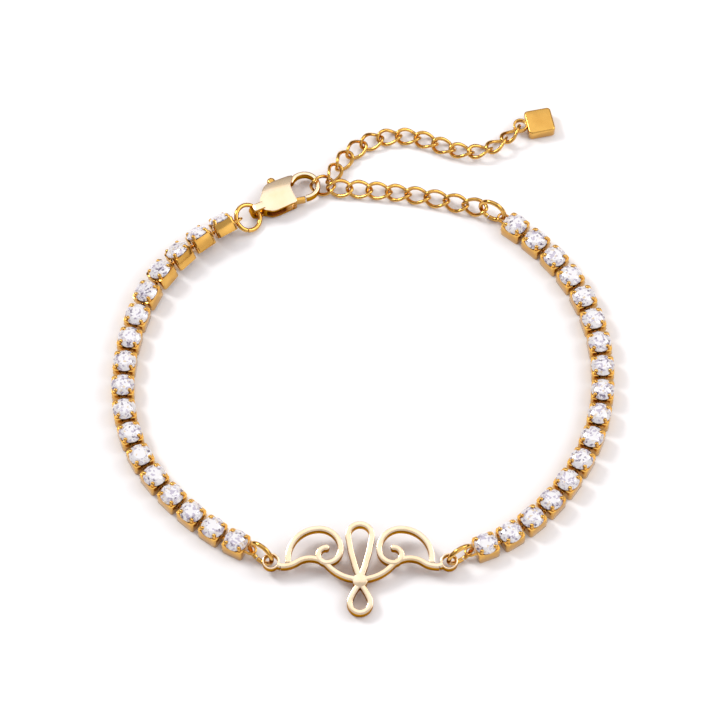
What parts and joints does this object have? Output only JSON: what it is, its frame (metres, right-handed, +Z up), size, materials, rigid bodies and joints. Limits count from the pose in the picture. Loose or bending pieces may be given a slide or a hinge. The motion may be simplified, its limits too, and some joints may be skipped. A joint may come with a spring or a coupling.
{
  "type": "nameplate bracelet",
  "caption": "Gold tennis-style bracelet of square-set round stones with an openwork scroll nameplate, lobster clasp, extender chain and tag, lying closed on a flat surface.",
  "frame": {"origin": "centre of the bounding box in plan, on the surface that the bracelet lies on", "axes": "+Z up, away from the surface; +Y from the nameplate towards the clasp and the tag; +X to the right, with the nameplate nearest"},
  "size_m": [0.0646, 0.0742, 0.0041],
  "materials": {
    "stone": "clear, cut and polished",
    "gold": "gold plated, highly polished",
    "plate": "pale gold plated, polished"
  },
  "bodies": {
    "bracelet": {"stone_left_01": "stone", "stone_left_02": "stone", "stone_left_03": "stone", "stone_left_04": "stone", "stone_left_05": "stone", "stone_left_06": "stone", "stone_left_07": "stone", "stone_left_08": "stone", "stone_left_09": "stone", "stone_left_10": "stone", "stone_left_11": "stone", "stone_left_12": "stone", "stone_left_13": "stone", "stone_left_14": "stone", "stone_left_15": "stone", "stone_left_16": "stone", "stone_left_17": "stone", "stone_right_01": "stone", "stone_right_02": "stone", "stone_right_03": "stone", "stone_right_04": "stone", "stone_right_05": "stone", "stone_right_06": "stone", "stone_right_07": "stone", "stone_right_08": "stone", "stone_right_09": "stone", "stone_right_10": "stone", "stone_right_11": "stone", "stone_right_12": "stone", "stone_right_13": "stone", "stone_right_14": "stone", "stone_right_15": "stone", "stone_right_16": "stone", "stone_right_17": "stone", "settings_left": "gold", "settings_right": "gold", "ring_plate_left": "gold", "ring_plate_right": "gold", "ring_clasp": "gold", "ring_chain": "gold", "clasp_body": "gold", "clasp_pin": "gold", "chain_main": "gold", "chain_tail": "gold", "tag": "gold", "nameplate": "plate"},
    "clasp_lever": {"clasp_lever": "gold"}
  },
  "joints": [
    {"name": "clasp_lever_hinge", "type": "hinge", "parent": "bracelet", "child": "clasp_lever", "pos_m": [-0.00972, 0.02262, 0.0011], "axis": [0, 0, 1], "range_deg": [0, 30], "stiffness_Nm_per_rad": 0.00002, "springref_deg": -11.46}
  ]
}
